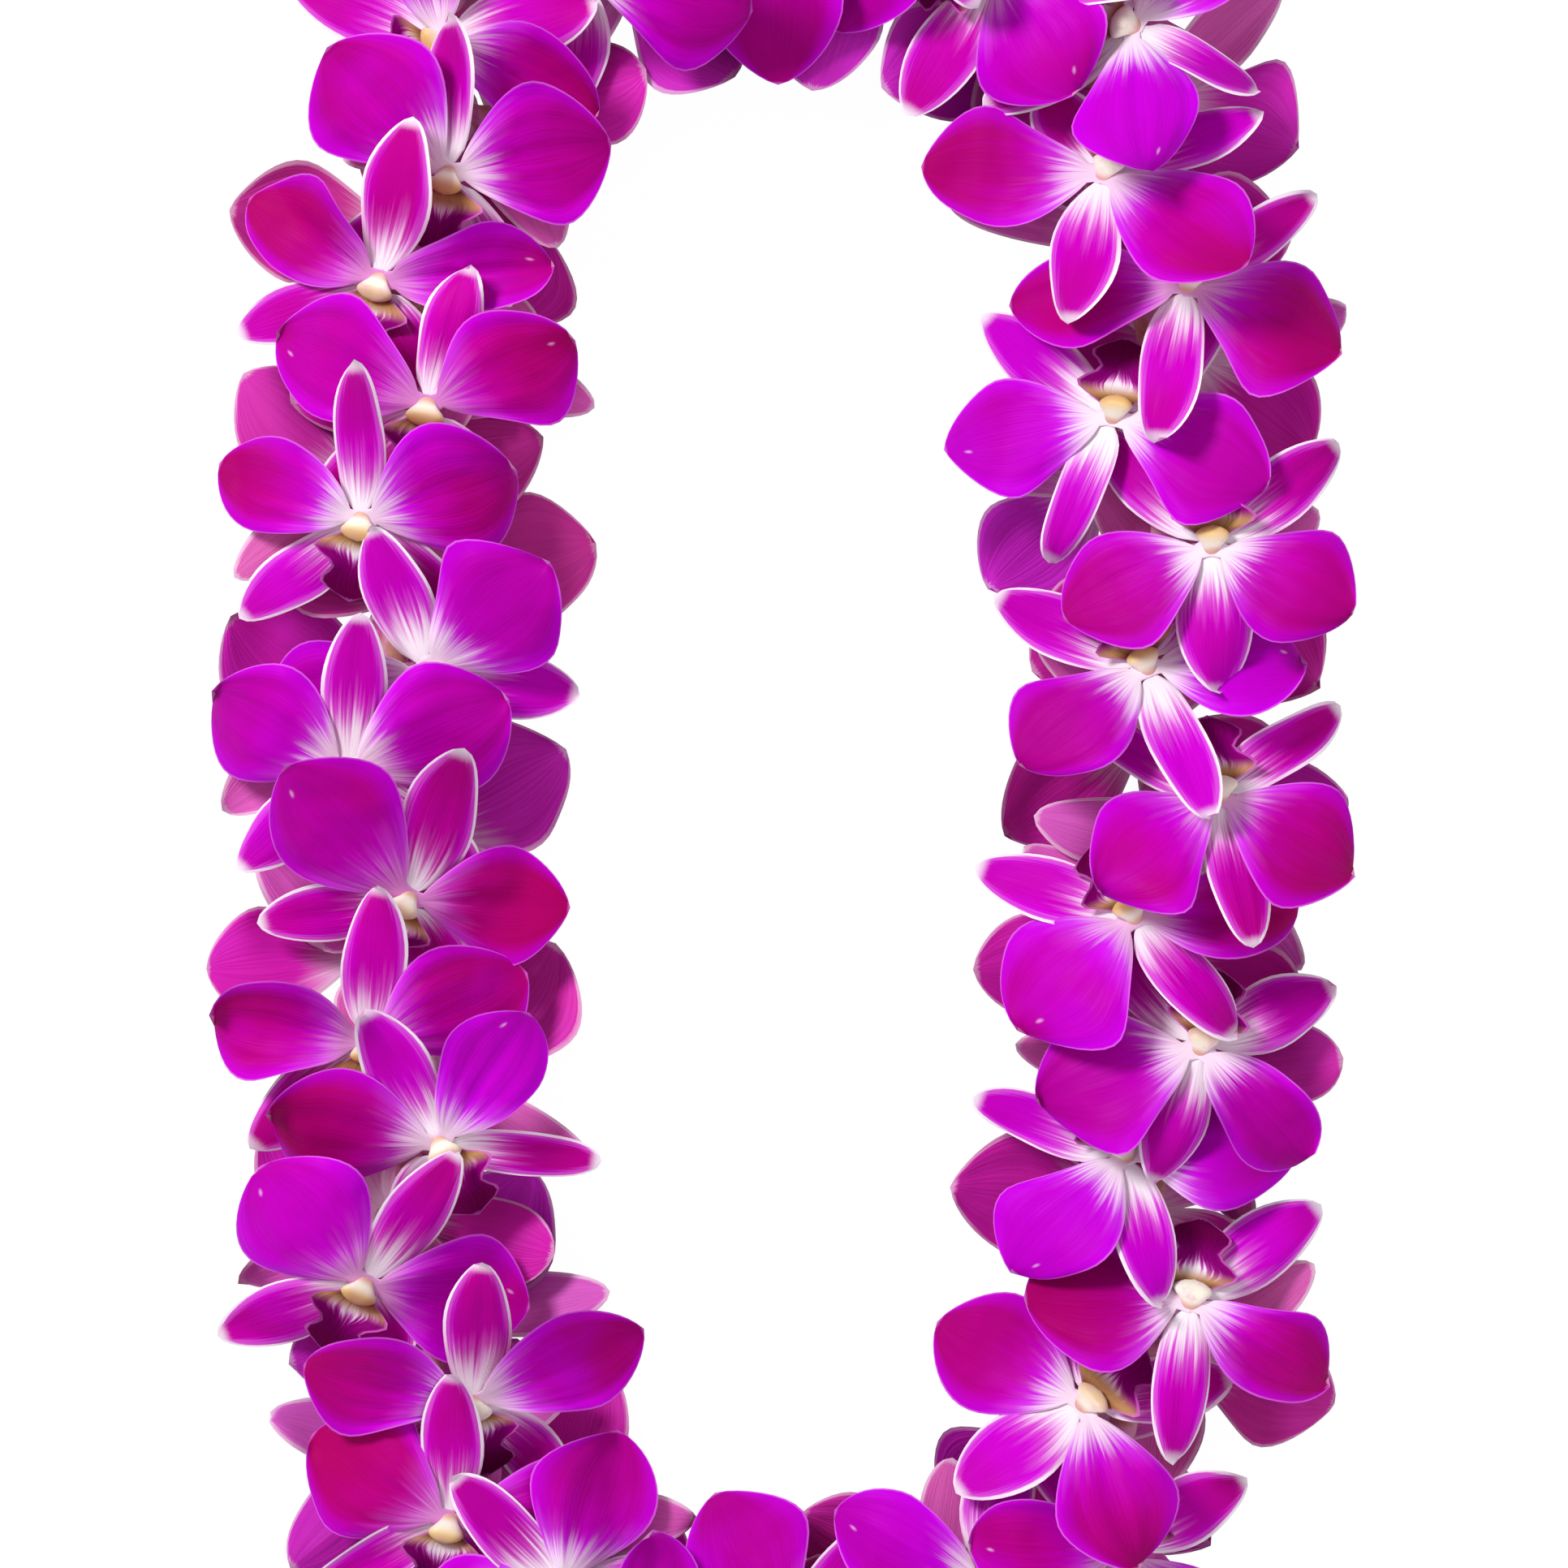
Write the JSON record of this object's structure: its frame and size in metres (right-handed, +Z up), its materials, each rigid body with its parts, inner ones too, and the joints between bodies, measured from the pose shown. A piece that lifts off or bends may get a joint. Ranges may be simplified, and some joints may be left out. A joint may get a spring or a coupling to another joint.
{
  "type": "fresh flower lei",
  "caption": "Fresh orchid lei laid flat: overlapping magenta orchid blooms threaded back to back on a knotted string in a long closed loop.",
  "frame": {"origin": "middle of the loop on the surface that the lei lies on", "axes": "+Y along the loop's long way and up in the picture, +X to the right in it, +Z up from the surface towards the camera"},
  "size_m": [0.2316, 0.4366, 0.0563],
  "materials": {
    "petal": "soft satin magenta petals with paler veins",
    "sepal": "magenta sepals with a thin white margin, white tip and streaked white base",
    "petal_back": "pale pink backs of the petals and sepals",
    "lip": "dark velvety magenta lip, paler at its throat",
    "column": "waxy cream column with a tan throat",
    "string": "twisted off-white cotton thread"
  },
  "bodies": {
    "root": {"blooms_01": "petal", "blooms_02": "petal", "blooms_03": "petal", "blooms_04": "petal", "blooms_05": "petal", "blooms_06": "petal", "blooms_07": "petal", "blooms_08": "petal", "blooms_09": "petal", "blooms_10": "petal", "blooms_11": "petal", "blooms_12": "petal", "blooms_13": "petal", "blooms_14": "petal", "blooms_15": "petal", "blooms_16": "petal", "blooms_17": "petal", "blooms_18": "petal", "blooms_19": "petal", "blooms_20": "petal", "blooms_21": "petal", "blooms_22": "petal", "blooms_23": "petal", "blooms_24": "petal", "blooms_25": "petal", "blooms_26": "petal", "blooms_27": "petal", "blooms_28": "petal", "blooms_29": "petal", "blooms_30": "petal", "blooms_31": "petal", "blooms_32": "petal", "blooms_33": "petal", "blooms_34": "petal", "blooms_35": "petal", "blooms_36": "petal", "string": "string"}
  },
  "joints": []
}
